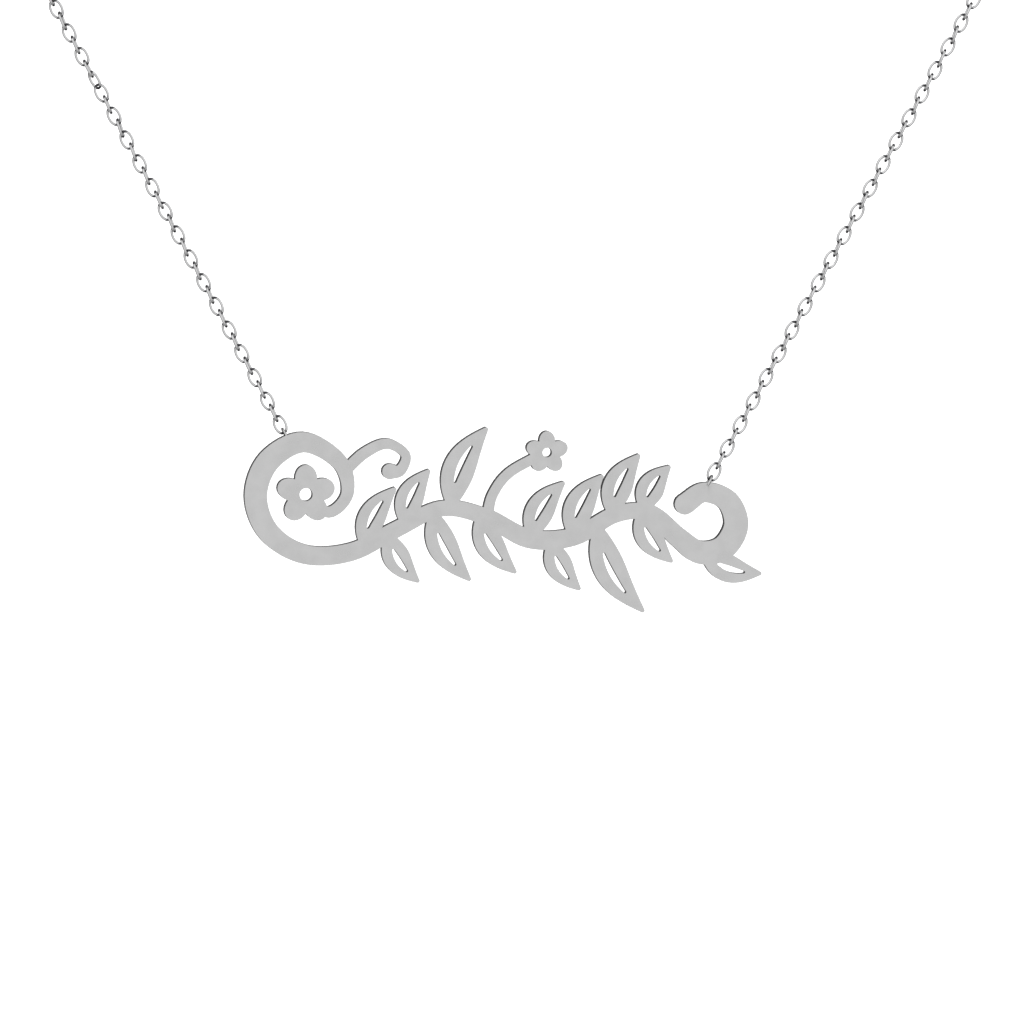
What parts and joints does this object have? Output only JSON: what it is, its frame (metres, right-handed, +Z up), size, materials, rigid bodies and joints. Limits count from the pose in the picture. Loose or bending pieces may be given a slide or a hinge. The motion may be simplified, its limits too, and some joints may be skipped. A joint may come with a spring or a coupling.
{
  "type": "nameplate necklace",
  "caption": "Fine cable chain necklace with a pierced plate of stem, leaves and blossoms in place of lettering, hung by soldered eyelets and closed by a plain round clasp at the nape.",
  "frame": {"origin": "middle of the clasp, where the necklace lies on the nape of the neck", "axes": "+Z up, the ornament hangs in front at -Y, +X to the viewer's right as seen from the front"},
  "size_m": [0.124, 0.1007, 0.1124],
  "materials": {
    "plate": "satin rhodium-plated silver",
    "chain": "polished silver wire",
    "clasp": "polished silver"
  },
  "bodies": {
    "chain": {"end_link_left": "chain", "end_link_right": "chain", "chain_left": "chain", "chain_right": "chain", "clasp": "clasp", "tag_ring": "chain"},
    "plate": {"nameplate": "plate"}
  },
  "joints": [
    {"name": "plate_swing", "type": "hinge", "parent": "chain", "child": "plate", "pos_m": [-0.01764, -0.098, -0.09574], "axis": [0.9937, 0, -0.1123], "range_deg": [-45, 45]}
  ]
}
